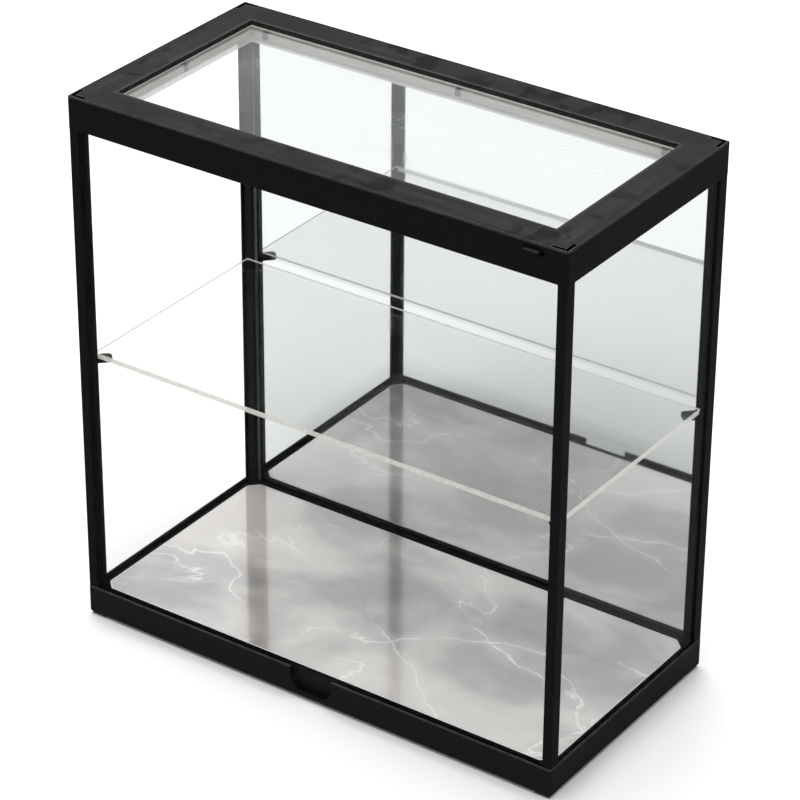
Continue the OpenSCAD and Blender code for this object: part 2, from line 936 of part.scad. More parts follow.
// Socket with a metal shell, a tongue and a closed back
module power_inlet() {
  color(steel) {
    difference() {
      inlet_prism(inlet_w, inlet_h, inlet_recess, inlet_recess + inlet_l);
      inlet_prism(inlet_w - 2 * inlet_wall, inlet_h - 2 * inlet_wall,
                  inlet_recess - over, inlet_recess + inlet_l * 0.8);
    }
    translate([inlet_x, half_d - inlet_recess - inlet_l * 0.55, inlet_z])
      cube([inlet_w * 0.6, inlet_l * 0.6, inlet_h * 0.2], center = true);
  }
}

module control_board() {
  chip = board_w / 2;
  color(board_green) {
    box([board_x - board_l / 2, board_y - board_w / 2, z_roof - board_t],
        [board_x + board_l / 2, board_y + board_w / 2, z_roof]);
    box([board_x - chip, board_y - chip / 2, z_roof - 2 * board_t],
        [board_x + chip / 2, board_y + chip / 2, z_roof - board_t]);
    for (i = [-1, 1])
      translate([board_x - board_l / 3, board_y + i * chip / 2, z_roof - 2 * board_t])
        cylinder(h = board_t, r = chip / 3);
  }
}

module inlet_lead() {
  back = half_d - inlet_recess - inlet_l;
  color(wire_red)
    wire([
      [inlet_x, back, inlet_z],
      [inlet_x, lane_rear, inlet_z],
      [board_end - wire_d, lane_rear, inlet_z],
      [board_end - wire_d, lane_rear, z_roof - board_t]
    ], wire_d);
}

// Short wires that carry the supply round the left corners, from strip to strip
module strip_links() {
  link_z = z_strip + wire_d / 2;
  link_x = -strip_end_x + wire_d;
  link_y = strip_end_y - wire_d;
  color(wire_red)
    for (end = [-1, 1]) {
      face = end < 0 ? channel_front : channel_rear;
      wire([
        [link_x, end * (face - strip_t), link_z],
        [link_x, end * link_y, link_z],
        [-channel_x + strip_t, end * link_y, link_z]
      ], wire_d);
    }
}

base_frame();
base_cover();
cover_screws();
base_screws();
stacking_feet();
floor_panel();
corner_post(-1, -1);  // post_front_left
corner_post(1, -1);  // post_front_right
corner_post(-1, 1);  // post_rear_left
corner_post(1, 1);  // post_rear_right
side_panel(-1);  // left_panel
side_panel(1);  // right_panel
back_mirror();
front_panel();
shelf();
shelf_bracket(-1, -1);  // shelf_bracket_front_left
shelf_bracket(1, -1);  // shelf_bracket_front_right
shelf_bracket(-1, 1);  // shelf_bracket_rear_left
shelf_bracket(1, 1);  // shelf_bracket_rear_right
top_frame();
top_panel();
diffuser_end(-1);  // diffuser_front
diffuser_end(1);  // diffuser_rear
diffuser_side(-1);  // diffuser_left
diffuser_side(1);  // diffuser_right
diffuser_clips();
led_strip_front();
led_strip_rear();
led_strip_side(-1);  // led_strip_left
led_strip_side(1);  // led_strip_right
led_chips();
switch_body();
switch_knob();
switch_lead();
power_inlet();
control_board();
inlet_lead();
strip_links();
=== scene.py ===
import math

import bmesh
import bpy
from bpy.props import FloatProperty, FloatVectorProperty, PointerProperty
from mathutils import Matrix, Vector


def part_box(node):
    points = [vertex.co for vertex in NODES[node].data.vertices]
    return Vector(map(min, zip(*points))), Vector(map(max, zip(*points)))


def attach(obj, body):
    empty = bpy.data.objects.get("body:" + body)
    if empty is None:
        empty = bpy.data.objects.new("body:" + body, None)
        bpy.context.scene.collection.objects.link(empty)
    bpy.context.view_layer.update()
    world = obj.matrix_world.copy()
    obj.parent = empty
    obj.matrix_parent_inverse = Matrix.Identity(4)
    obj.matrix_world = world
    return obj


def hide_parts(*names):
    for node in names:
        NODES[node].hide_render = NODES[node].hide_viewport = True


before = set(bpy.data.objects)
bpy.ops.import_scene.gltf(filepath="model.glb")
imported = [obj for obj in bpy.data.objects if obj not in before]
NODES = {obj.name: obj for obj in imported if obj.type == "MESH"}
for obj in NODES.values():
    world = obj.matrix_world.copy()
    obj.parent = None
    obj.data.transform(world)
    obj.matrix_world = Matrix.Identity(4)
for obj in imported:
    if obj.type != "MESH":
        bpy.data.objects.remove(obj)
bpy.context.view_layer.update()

bl_info = {
    "name": "Lighted display case",
    "version": (1, 0, 0),
    "blender": (4, 5, 0),
    "location": "View3D > Sidebar > Display case",
    "description": "Finishes, edged sheets and studio stage of a clear display case in a black frame",
    "category": "Object",
}

MM = 0.001

# Half width and depth of the case, and the levels of its top face and the base's lip
HALF_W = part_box("top_frame")[1].x
HALF_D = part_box("top_frame")[1].y
TOP_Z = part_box("top_frame")[1].z
LIP_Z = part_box("base_frame")[1].z

# Middle and radius of the ring mark under the switch, across X and Z
SWITCH_MARK = (HALF_W - 21.3 * MM, TOP_Z - 8.8 * MM, 4.0 * MM)

# Width of the top frame from its outer faces to the opening
FRAME_W = 17.0 * MM

# Share of a face's normal along an axis above which the face is square to that axis
SQUARE = 0.999

# Studio: half the floor's side, the distances between which it turns white, and the lamp
FLOOR_REACH = 6.0
WHITE_FROM, WHITE_TO = 0.6, 2.0
LAMP_SIDE = 2.4
LAMP_PLACE = Vector((-0.5, 0.3, 2.2))
LAMP_AIM = Vector((0.0, 0.0, 0.1))

# Point that the camera looks at, and how far that lies from the picture's middle, across and up
CAMERA_AIM = Vector((0.0, 0.0, 161.5 * MM))
CAMERA_ASIDE = Vector((-3.795 * MM, 6.313 * MM))

FRAME_NODES = [
    "base_cover", "post_front_left", "post_front_right", "post_rear_left", "post_rear_right",
    "shelf_bracket_front_left", "shelf_bracket_front_right", "shelf_bracket_rear_left",
    "shelf_bracket_rear_right", "switch_body",
]
DIFFUSER_NODES = ["diffuser_front", "diffuser_rear", "diffuser_left", "diffuser_right"]
STRIP_NODES = ["led_strip_front", "led_strip_rear", "led_strip_left", "led_strip_right"]
WIRE_NODES = ["switch_lead", "inlet_lead", "strip_links"]
SCREW_NODES = ["base_screws", "cover_screws", "power_inlet"]


# Shader expressions

class Value:
    """A socket that takes Python's operators. Each one adds a Math node."""

    def __init__(self, tree, socket):
        self.tree = tree
        self.socket = socket

    def math(self, operation, *values, clamp=False):
        inputs = dict(enumerate((self, *values)))
        return self.tree.node("ShaderNodeMath", {"operation": operation, "use_clamp": clamp}, inputs)

    def __add__(self, other):
        return self.math("ADD", other)

    __radd__ = __add__

    def __sub__(self, other):
        return self.math("SUBTRACT", other)

    def __rsub__(self, other):
        return self.tree.node("ShaderNodeMath", {"operation": "SUBTRACT"}, {0: other, 1: self})

    def __mul__(self, other):
        return self.math("MULTIPLY", other)

    __rmul__ = __mul__

    def __pow__(self, other):
        return self.math("POWER", other)

    def __neg__(self):
        return self.math("MULTIPLY", -1.0)

    def __abs__(self):
        return self.math("ABSOLUTE")

    def clamp(self):
        return self.math("ADD", 0.0, clamp=True)

    def most(self, other):
        return self.math("MAXIMUM", other)

    def least(self, other):
        return self.math("MINIMUM", other)

    def above(self, edge):
        return self.math("GREATER_THAN", edge)

    def ease(self, low, high):
        """0 below low, 1 above high, smooth between."""
        return self.tree.node("ShaderNodeMapRange", {"interpolation_type": "SMOOTHSTEP"},
                              {"Value": self, "From Min": low, "From Max": high})


class NodeTree:
    """Adds nodes to a node tree."""

    def __init__(self, tree):
        self.tree = tree
        tree.nodes.clear()

    def node(self, kind, settings=None, inputs=None, output=0):
        made = self.tree.nodes.new(kind)
        for key, setting in (settings or {}).items():
            setattr(made, key, setting)
        for key, value in (inputs or {}).items():
            if isinstance(value, Value):
                self.tree.links.new(value.socket, made.inputs[key])
            else:
                made.inputs[key].default_value = value
        return Value(self, made.outputs[output]) if made.outputs else made

    def split(self, vector):
        return [self.node("ShaderNodeSeparateXYZ", None, {0: vector}, axis) for axis in range(3)]

    def mix_colour(self, factor, first, second):
        first, second = [c if isinstance(c, Value) else (*c, 1.0) for c in (first, second)]
        return self.node("ShaderNodeMix", {"data_type": "RGBA"}, {0: factor, 6: first, 7: second}, 2)

    def stretched(self, vector, scale):
        return self.node("ShaderNodeVectorMath", {"operation": "MULTIPLY"}, {0: vector, 1: scale})

    def noise(self, vector, scale, detail=2.0, roughness=0.5, distortion=0.0):
        return self.node("ShaderNodeTexNoise", None, {
            "Vector": vector, "Scale": scale, "Detail": detail, "Roughness": roughness, "Distortion": distortion})

    def mix_shader(self, factor, first, second):
        return self.node("ShaderNodeMixShader", None, {0: factor, 1: first, 2: second})


class Finish(NodeTree):
    """A material made of nodes, with places in the case's own frame."""

    def __init__(self, name):
        self.material = bpy.data.materials.new(name)
        self.material.use_nodes = True
        super().__init__(self.material.node_tree)
        self.place = self.node("ShaderNodeTexCoord", None, None, "Object")
        self.normal = self.node("ShaderNodeNewGeometry", None, None, "Normal")

    def principled(self, **inputs):
        named = {key.replace("_", " "): value for key, value in inputs.items()}
        for key, value in named.items():
            if isinstance(value, tuple) and len(value) == 3:
                named[key] = (*value, 1.0)
        return self.node("ShaderNodeBsdfPrincipled", None, named)

    def bump(self, height, strength, distance, normal=None):
        inputs = {"Height": height, "Strength": strength, "Distance": distance}
        if normal is not None:
            inputs["Normal"] = normal
        return self.node("ShaderNodeBump", None, inputs)

    def rounded(self, radius):
        """Normal that rounds sharp edges, and how far it turns from the face."""
        soft = self.node("ShaderNodeBevel", {"samples": 6}, {"Radius": radius})
        turn = 1 - self.node("ShaderNodeVectorMath", {"operation": "DOT_PRODUCT"},
                             {0: soft, 1: self.normal}, "Value")
        return soft, turn

    def facing_gloss(self, floor, glance):
        """Share of light that a polished face throws back, more at a glancing angle."""
        facing = self.node("ShaderNodeLayerWeight", None, {"Blend": 0.5}, "Facing")
        return floor + glance * facing ** 5

    def done(self, shader):
        self.node("ShaderNodeOutputMaterial", None, {"Surface": shader})
        return self.material


def show(names, material):
    """Give CAD nodes one material."""
    for name in names:
        slots = NODES[name].data.materials
        slots.clear()
        slots.append(material)


# Settings

class MouldingSettings(bpy.types.PropertyGroup):
    colour: FloatVectorProperty(
        name="Black", description="Colour of the satin black plastic", subtype="COLOR",
        default=(0.0070, 0.0065, 0.0078), min=0.0, max=1.0)
    # The dust colour also lightens the top frame's faces inside the opening: painted light.
    dust_and_painted_light_colour: FloatVectorProperty(
        name="Dust", description="Colour of the dust and wiped smears on level faces", subtype="COLOR",
        default=(0.044, 0.044, 0.0435), min=0.0, max=1.0)
    # Colour of worn edges, also used as a painted highlight along the rounded top and lip edges.
    edge_colour_with_painted_light: FloatVectorProperty(
        name="Rubbed edges", description="Colour of the plastic where its edges are rubbed", subtype="COLOR",
        default=(0.19, 0.19, 0.193), min=0.0, max=1.0)
    roughness: FloatProperty(
        name="Roughness", description="Roughness of clean plastic", subtype="FACTOR", default=0.42, min=0.0, max=1.0)
    edge_radius: FloatProperty(
        name="Edge radius", description="Rounding of the moulded edges", subtype="DISTANCE", unit="LENGTH",
        default=0.45 * MM, min=0.0)


class SheetSettings(bpy.types.PropertyGroup):
    tint: FloatVectorProperty(
        name="Tint", description="Light that passes one face of a clear sheet", subtype="COLOR",
        default=(0.975, 0.978, 0.976), min=0.0, max=1.0)
    # Also the colour of the edges' painted glow.
    edge_colour_with_painted_light: FloatVectorProperty(
        name="Sawn edge", description="Colour of the sheets' cut edges", subtype="COLOR",
        default=(0.84, 0.835, 0.76), min=0.0, max=1.0)
    edge_bevel: FloatProperty(
        name="Edge bevel", description="Width of the broken edge of a clear sheet", subtype="DISTANCE",
        unit="LENGTH", default=0.3 * MM, min=0.0)
    floor_bevel: FloatProperty(
        name="Floor bevel", description="Width of the polished edge of the floor sheet", subtype="DISTANCE",
        unit="LENGTH", default=0.9 * MM, min=0.0)
    silver_depth: FloatProperty(
        name="Silver depth", description="Depth at which the silvering shows behind the mirror's clear face",
        subtype="DISTANCE", unit="LENGTH", default=1.65 * MM, min=0.0)
    silver: FloatVectorProperty(
        name="Silver", description="Colour of the mirror's silvering", subtype="COLOR",
        default=(0.83, 0.85, 0.85), min=0.0, max=1.0)


class MarbleSettings(bpy.types.PropertyGroup):
    ground: FloatVectorProperty(
        name="Ground", description="Pale grey of the marble pattern", subtype="COLOR",
        default=(0.70, 0.650, 0.632), min=0.0, max=1.0)
    cloud: FloatVectorProperty(
        name="Cloud", description="Darker clouds in the marble pattern", subtype="COLOR",
        default=(0.265, 0.247, 0.244), min=0.0, max=1.0)
    vein: FloatVectorProperty(
        name="Vein", description="Colour of the veins", subtype="COLOR",
        default=(0.90, 0.88, 0.86), min=0.0, max=1.0)


class LightSettings(bpy.types.PropertyGroup):
    frosted: FloatVectorProperty(
        name="Diffuser", description="Colour of the frosted strips", subtype="COLOR",
        default=(0.88, 0.89, 0.86), min=0.0, max=1.0)
    phosphor: FloatVectorProperty(
        name="Phosphor", description="Colour of the unlit light chips", subtype="COLOR",
        default=(0.82, 0.68, 0.18), min=0.0, max=1.0)


class StageSettings(bpy.types.PropertyGroup):
    floor_colour: FloatVectorProperty(
        name="Floor", description="Colour of the studio floor", subtype="COLOR",
        default=(0.93, 0.93, 0.93), min=0.0, max=1.0)
    azimuth: FloatProperty(
        name="Azimuth", description="Turn of the camera from the front towards the right", subtype="ANGLE",
        default=math.radians(34.659))
    elevation: FloatProperty(
        name="Elevation", description="Height angle of the camera", subtype="ANGLE", default=math.radians(29.583))
    roll: FloatProperty(
        name="Roll", description="Lean of the camera", subtype="ANGLE", default=math.radians(0.42))
    distance: FloatProperty(
        name="Distance", description="Distance of the camera from the case's middle", subtype="DISTANCE",
        unit="LENGTH", default=1.857877)
    lens: FloatProperty(
        name="Lens", description="Focal length on a 36 mm sensor", subtype="DISTANCE_CAMERA", default=155.326)
    sky: FloatProperty(
        name="Sky", description="Strength of the even light from all round", default=0.62, min=0.0)
    lamp: FloatProperty(
        name="Lamp", description="Power of the large soft lamp overhead", subtype="POWER", default=62.0, min=0.0)


SETTINGS = {
    "case_moulding": MouldingSettings,
    "case_sheet": SheetSettings,
    "case_marble": MarbleSettings,
    "case_light": LightSettings,
    "case_stage": StageSettings,
}


# Finishes

def satin_plastic(name, settings, switch_mark=None, sheltered_with_painted_shade=True, tone=1.0):
    """Moulded black plastic: fine grain, wiped dust with finger marks on the top, and worn outer edges, lightened also
    as a painted highlight.

    Unless turned off, level faces below the top get no dust, and all but the lip get a darker matt copy of the black
    mixed in: painted shade.
    A tone above 1 lightens the clean black: painted bounce light.
    """
    f = Finish(name)
    x, y, z = f.split(f.place)
    up = f.split(f.normal)[2].ease(0.5, 0.95)
    on_top = z.above(TOP_Z - 0.6 * MM) if sheltered_with_painted_shade else 1.0
    on_lip = 1 - abs(z - LIP_Z).ease(0.3 * MM, 0.6 * MM)
    soft, turn = f.rounded(settings.edge_radius)
    worn = 0.3 + 0.7 * f.noise(f.place, 160.0, 3.0, 0.6).ease(0.2, 0.6)
    # Worn edges of the top and the lip, lightened towards the edge colour: partly wear, partly a painted highlight.
    rubbed_with_painted_highlight = turn.ease(0.002, 0.09) * worn * on_lip.most(z.above(TOP_Z - 1.3 * MM))
    along_x = f.noise(f.stretched(f.place, (9.0, 210.0, 60.0)), 1.0, 4.0, 0.62)
    along_y = f.noise(f.stretched(f.place, (210.0, 9.0, 60.0)), 1.0, 4.0, 0.62)
    on_side = (abs(x) - abs(y)).above(HALF_W - HALF_D)
    streak = along_x + on_side * (along_y - along_x)
    smear = f.noise(f.place, 26.0, 5.0, 0.62, 0.4).ease(0.36, 0.72)
    finger = f.noise(f.place, 62.0, 2.0, 0.5, 0.3).ease(0.5, 0.62) * f.noise(f.place, 14.0, 1.0).ease(0.38, 0.5)
    speck = f.noise(f.place, 1500.0, 1.0, 0.5).ease(0.7, 0.78)
    # The side rails get a little more film, so they are a shade lighter than the front and rear rails.
    film = 0.42 + 0.06 * on_side + 0.5 * smear * streak.ease(0.3, 0.7) + 0.25 * speck * smear
    dust = up * on_top * film * (1 - 0.65 * finger) + 0.02 * smear
    grain = f.noise(f.place, 1900.0, 2.0, 0.6)
    height = grain + 0.35 * f.noise(f.place, 320.0, 2.0)
    if switch_mark is not None:
        ring = ring_mark(f, x, y, z, *switch_mark)
        # Painted light: the frame's faces inside the opening are lightened towards the dust colour; from here dust
        # holds this painted light as well.
        opening_painted_light = (HALF_W - FRAME_W - abs(x)).least(HALF_D - FRAME_W - abs(y)).above(0.0)
        dust = dust + 0.06 * ring + 0.4 * opening_painted_light
        height = height - ring
    # tone scales the clean black: above 1 it is painted bounce light.
    colour = f.mix_colour(dust.clamp(), tuple(tone * c for c in settings.colour), tuple(settings.dust_and_painted_light_colour))
    colour = f.mix_colour(rubbed_with_painted_highlight, colour, tuple(settings.edge_colour_with_painted_light))
    rough = settings.roughness + 0.2 * smear + 0.12 * up * (streak - 0.5) - 0.1 * up * finger + 0.1 * (grain - 0.5)
    normal = f.bump(height, 0.14, 0.06 * MM, soft)
    shader = f.principled(Base_Color=colour, Roughness=rough.clamp(), Normal=normal, Specular_IOR_Level=0.009)
    # Painted shade: a darker, matt copy of the black on level faces below the top, except the lip.
    if sheltered_with_painted_shade:
        dark = f.principled(Base_Color=tuple(0.5 * c for c in settings.colour), Roughness=0.8, Normal=normal,
                            Specular_IOR_Level=0.0)
        shader = f.mix_shader(0.85 * up * (1 - on_top) * (1 - on_lip), shader, dark)
    return f.done(shader)


def ring_mark(f, x, y, z, centre_x, centre_z, radius):
    """Faint ring that an ejector pin left in the front face under the switch."""
    across = ((x - centre_x) ** 2.0 + (z - centre_z) ** 2.0) ** 0.5
    line = 1 - abs(across - radius).ease(0.15 * MM, 0.45 * MM)
    return line * (-y).above(HALF_D - 0.5 * MM)


def clear_sheet(name, settings, floor, glance, haze, scratched=0.0):
    """Polished clear acrylic with a thin film of dust and, on the top, fine wiping scratches."""
    f = Finish(name)
    gloss = f.facing_gloss(floor, glance)
    film = f.noise(f.place, 14.0, 5.0, 0.6, 0.5).ease(0.4, 0.8)
    speck = f.noise(f.place, 900.0, 1.0).ease(0.72, 0.8)
    cast = f.noise(f.place, 5.0, 2.0)
    veil = haze * (0.4 + film + 1.5 * speck * film)
    if scratched:
        veil = veil + scratched * hairlines(f)
    mirror = f.principled(Base_Color=(0.96, 0.97, 0.97), Metallic=1.0, Roughness=(0.02 + 0.06 * film).clamp(),
                          Normal=f.bump(cast, 0.05, 0.2 * MM))
    dusty = f.principled(Base_Color=f.mix_colour(film, (0.62, 0.63, 0.62), (0.8, 0.8, 0.78)), Roughness=0.7)
    clear = f.node("ShaderNodeBsdfTransparent", None, {"Color": (*settings.tint, 1.0)})
    return f.done(f.mix_shader(veil.clamp(), f.mix_shader(gloss, clear, mirror), dusty))


def hairlines(f):
    """Thin straight scratches in two directions, in patches."""
    lines = 0.0
    for turn, scale, seed in ((0.5, 46.0, 3.1), (2.2, 38.0, 7.7), (1.35, 60.0, 12.4)):
        turned = f.node("ShaderNodeVectorRotate", {"rotation_type": "Z_AXIS"},
                        {"Vector": f.place, "Center": (seed, seed, 0.0), "Angle": turn})
        fine = f.noise(f.stretched(turned, (1.0, 14.0, 1.0)), scale, 2.0, 0.6)
        patch = f.noise(f.place, 19.0 + seed, 2.0).ease(0.5, 0.72)
        lines = lines + (1 - abs(fine - 0.5).ease(0.004, 0.012)) * patch
    return lines.clamp()


def sawn_edge(name, settings, board=None):
    """Cut edge of a clear sheet, with a painted glow, as emission, for the light that the sheet carries.

    On the left and rear edges of a board only a line below its top face is kept, and it glows: a painted highlight; the
    rest of those edges is clear.
    """
    f = Finish(name)
    tooth = f.noise(f.place, 700.0, 2.0, 0.7)
    sheen = f.noise(f.place, 60.0, 3.0)
    colour = f.mix_colour(tooth.ease(0.3, 0.75), tuple(0.8 * c for c in settings.edge_colour_with_painted_light),
                          tuple(settings.edge_colour_with_painted_light))
    skin = f.mix_colour(0.62, colour, (0.0, 0.0, 0.0))
    # Painted glow: the edge emits light, though it is no lamp.
    body = f.principled(Base_Color=skin, Roughness=(0.25 + 0.3 * sheen).clamp(), IOR=1.49,
                        Emission_Color=colour, Emission_Strength=0.5, Normal=f.bump(tooth, 0.5, 0.08 * MM))
    clear = f.node("ShaderNodeBsdfTransparent", None, {"Color": (*settings.tint, 1.0)})
    cover = 0.74 + 0.2 * tooth
    if board is not None:
        low, high = board
        inset, depth, blur = 1.0 * MM, 1.1 * MM, 0.2 * MM
        x, y, z = f.split(f.place)
        # The left and rear edges of a board, where only the glowing line under the top face is kept: a painted
        # highlight.
        polished = (low.x + inset - x).most(y - high.y + inset).above(0.0)
        line = (z - high.z + depth).ease(-blur, blur)
        cover = cover * (1 - polished * (1 - line))
    return f.done(f.mix_shader(cover.clamp(), clear, body))


def silvered(name, settings):
    """Mirror face with faint wiping smears."""
    f = Finish(name)
    smear = f.noise(f.stretched(f.place, (6.0, 6.0, 22.0)), 1.0, 5.0, 0.6, 0.3).ease(0.4, 0.8)
    colour = f.mix_colour(smear * 0.5, tuple(settings.silver), tuple(0.95 * c for c in settings.silver))
    return f.done(f.principled(Base_Color=colour, Metallic=1.0, Roughness=0.015 + 0.05 * smear))


def backing_paint(name):
    """Grey protective paint on the mirror's rear face and edges."""
    f = Finish(name)
    roll = f.noise(f.stretched(f.place, (30.0, 30.0, 160.0)), 1.0, 3.0)
    fleck = f.noise(f.place, 700.0, 2.0)
    colour = f.mix_colour(roll.ease(0.3, 0.7), (0.17, 0.175, 0.18), (0.195, 0.2, 0.205))
    return f.done(f.principled(Base_Color=colour, Roughness=(0.5 + 0.2 * fleck).clamp(),
                               Normal=f.bump(fleck, 0.25, 0.05 * MM)))


def marble(name, settings):
    """Glossy printed marble: wide soft zones and a few long thin veins with pale halos."""
    f = Finish(name)
    zone = f.noise(f.stretched(f.place, (1.0, 1.5, 1.0)), 6.5, 4.0, 0.5, 0.5).ease(0.4, 0.58)
    cloud = f.noise(f.place, 24.0, 5.0, 0.55, 0.6)
    ground = f.mix_colour((0.8 * zone + 0.4 * (cloud - 0.3)).clamp(), tuple(settings.cloud), tuple(settings.ground))
    line = 0.0
    halo = 0.0
    for turn, scale, level in ((0.55, 5.2, 0.49), (-0.5, 4.1, 0.55)):
        turned = f.node("ShaderNodeVectorRotate", {"rotation_type": "Z_AXIS"}, {"Vector": f.place, "Angle": turn})
        swirl = f.noise(f.stretched(turned, (0.8, 1.9, 1.0)), scale, 8.0, 0.5, 0.2)
        off = abs(swirl - level)
        fade = f.noise(f.place, 17.0 + scale, 2.0).ease(0.42, 0.62)
        line = line + (1 - off.ease(0.001, 0.0045)) * (0.15 + 0.85 * fade)
        halo = halo + (1 - off.ease(0.0, 0.05)) * fade
    colour = f.mix_colour((0.6 * line + 0.2 * halo).clamp(), ground, tuple(settings.vein))
    fine = f.noise(f.place, 420.0, 2.0)
    return f.done(f.principled(Base_Color=colour, Roughness=(0.07 + 0.05 * cloud + 0.03 * fine).clamp(),
                               IOR=2.2, Specular_IOR_Level=0.95, Coat_Weight=0.8, Coat_Roughness=0.03,
                               Normal=f.bump(f.noise(f.place, 45.0, 1.0), 0.03, 0.1 * MM)))


def polished_edge(name):
    """Pale polished edge round the floor sheet."""
    f = Finish(name)
    shade = f.noise(f.place, 120.0, 3.0)
    colour = f.mix_colour(shade, (0.7, 0.7, 0.69), (0.85, 0.85, 0.84))
    return f.done(f.principled(Base_Color=colour, Roughness=(0.15 + 0.2 * shade).clamp(), Specular_IOR_Level=0.6))


def frosted_plastic(name, settings):
    """Frosted strip: pale, finely etched and a little see-through."""
    f = Finish(name)
    etch = f.noise(f.place, 1300.0, 2.0, 0.6)
    band = f.noise(f.place, 40.0, 3.0)
    soft, turn = f.rounded(0.3 * MM)
    # Lighter along the rounded edges: a painted edge highlight.
    colour = f.mix_colour((0.6 * band + turn.ease(0.01, 0.1)).clamp(), tuple(0.93 * c for c in settings.frosted),
                          tuple(1.07 * c for c in settings.frosted))
    body = f.principled(Base_Color=colour, Roughness=(0.38 + 0.25 * etch).clamp(),
                        Normal=f.bump(etch, 0.2, 0.04 * MM, soft))
    clear = f.node("ShaderNodeBsdfTransparent", None, {"Color": (0.96, 0.96, 0.95, 1.0)})
    return f.done(f.mix_shader((0.46 + 0.1 * band).clamp(), clear, body))


def plain_finish(name, dark, light, roughness, scale, metallic=0.0, stretch=(1.0, 1.0, 1.0)):
    """A small part's finish: two tones, lighter along the edges as a painted highlight, broken gloss and a fine grain.
    """
    f = Finish(name)
    tone = f.noise(f.stretched(f.place, stretch), scale, 4.0, 0.6)
    soft, turn = f.rounded(0.15 * MM)
    # Lighter along the rounded edges: a painted edge highlight.
    colour = f.mix_colour((tone + 0.5 * turn.ease(0.01, 0.1)).clamp(), dark, light)
    return f.done(f.principled(Base_Color=colour, Metallic=metallic,
                               Roughness=(roughness - 0.1 + 0.2 * tone).clamp(),
                               Normal=f.bump(tone, 0.2, 0.04 * MM, soft)))


# Pieces

def edged_sheet(node, piece, body, bevel, thickness_axis, face, edge, rear=None):
    """A sheet with broken edges in place of a plain solid: slot 0 its faces, slot 1 its edges, slot 2 its rear face."""
    bm = bmesh.new()
    bm.from_mesh(NODES[node].data)
    bmesh.ops.remove_doubles(bm, verts=bm.verts, dist=0.001 * MM)
    bmesh.ops.dissolve_limit(bm, angle_limit=math.radians(1.0), verts=bm.verts, edges=bm.edges)
    bmesh.ops.bevel(bm, geom=bm.edges[:], offset=bevel, segments=2, profile=0.6, affect="EDGES")
    bm.normal_update()
    for polygon in bm.faces:
        level = polygon.normal[thickness_axis]
        polygon.material_index = 0 if abs(level) > SQUARE else 1
        if rear is not None and level > SQUARE:
            polygon.material_index = 2
    mesh = bpy.data.meshes.new(piece)
    bm.to_mesh(mesh)
    bm.free()
    for material in (face, edge, rear):
        if material is not None:
            mesh.materials.append(material)
    made = bpy.data.objects.new(piece, mesh)
    bpy.context.scene.collection.objects.link(made)
    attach(made, body)
    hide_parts(node)
    return made


class CASE_OT_mouldings(bpy.types.Operator):
    """Give the black frame, posts, brackets and switch their moulded plastic"""
    bl_idname = "display_case.mouldings"
    bl_label = "Mouldings"

    def execute(self, context):
        settings = context.scene.case_moulding
        # These get painted shade on their level faces below the top.
        show(FRAME_NODES, satin_plastic("satin_black", settings))
        # The base's black is 1.6 times as light: painted bounce light.
        show(["base_frame"], satin_plastic("satin_black_base_painted_bounce", settings, tone=1.6))
        show(["switch_knob"], satin_plastic("satin_black_knob", settings, sheltered_with_painted_shade=False))
        # The top frame also gets painted light on its faces inside the opening.
        show(["top_frame"], satin_plastic("satin_black_marked", settings, switch_mark=SWITCH_MARK))
        show(["stacking_feet"], plain_finish("foot_rubber", (0.015, 0.015, 0.015), (0.035, 0.035, 0.034), 0.75, 300.0))
        return {"FINISHED"}


class CASE_OT_clear_sheets(bpy.types.Operator):
    """Make the clear walls, the top and the shelf with broken sawn edges"""
    bl_idname = "display_case.clear_sheets"
    bl_label = "Clear sheets"

    def execute(self, context):
        settings = context.scene.case_sheet
        wall = clear_sheet("clear_acrylic", settings, 0.001, 0.14, 0.0012)
        top = clear_sheet("clear_acrylic_scratched", settings, 0.025, 0.8, 0.016, scratched=0.22)
        board = clear_sheet("clear_acrylic_shelf", settings, 0.035, 1.0, 0.006)
        # The cut edges of the top and the shelf carry a painted glow.
        edge = sawn_edge("sawn_acrylic", settings)
        board_edge = sawn_edge("sawn_acrylic_shelf", settings, board=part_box("shelf"))
        bevel = settings.edge_bevel
        edged_sheet("left_panel", "left_sheet", "case", bevel, 0, wall, wall)
        edged_sheet("right_panel", "right_sheet", "case", bevel, 0, wall, wall)
        edged_sheet("front_panel", "front_sheet", "front", bevel, 1, wall, wall)
        edged_sheet("top_panel", "top_sheet", "case", bevel, 2, top, edge)
        edged_sheet("shelf", "shelf_sheet", "shelf_board", bevel, 2, board, board_edge)
        return {"FINISHED"}


class CASE_OT_mirror(bpy.types.Operator):
    """Make the mirror back with its painted rear"""
    bl_idname = "display_case.mirror"
    bl_label = "Mirror back"

    def execute(self, context):
        settings = context.scene.case_sheet
        paint = backing_paint("mirror_backing")
        face = clear_sheet("mirror_face", settings, 0.015, 0.6, 0.003)
        edged_sheet("back_mirror", "mirror_sheet", "case", settings.edge_bevel, 1, face, paint, paint)
        self.make_silvering(settings)
        return {"FINISHED"}

    @staticmethod
    def make_silvering(settings):
        """Silvered layer inside the mirror's sheet, at the depth where it shows."""
        low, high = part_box("back_mirror")
        margin, thickness = 0.4 * MM, 0.1 * MM
        front = low.y + settings.silver_depth
        low = Vector((low.x + margin, front, low.z + margin))
        high = Vector((high.x - margin, front + thickness, high.z - margin))
        bm = bmesh.new()
        bmesh.ops.create_cube(bm, size=1.0, matrix=Matrix.LocRotScale((low + high) / 2, None, high - low))
        mesh = bpy.data.meshes.new("silver_layer")
        bm.to_mesh(mesh)
        bm.free()
        mesh.materials.append(silvered("silvering", settings))
        layer = bpy.data.objects.new("silver_layer", mesh)
        bpy.context.scene.collection.objects.link(layer)
        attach(layer, "case")


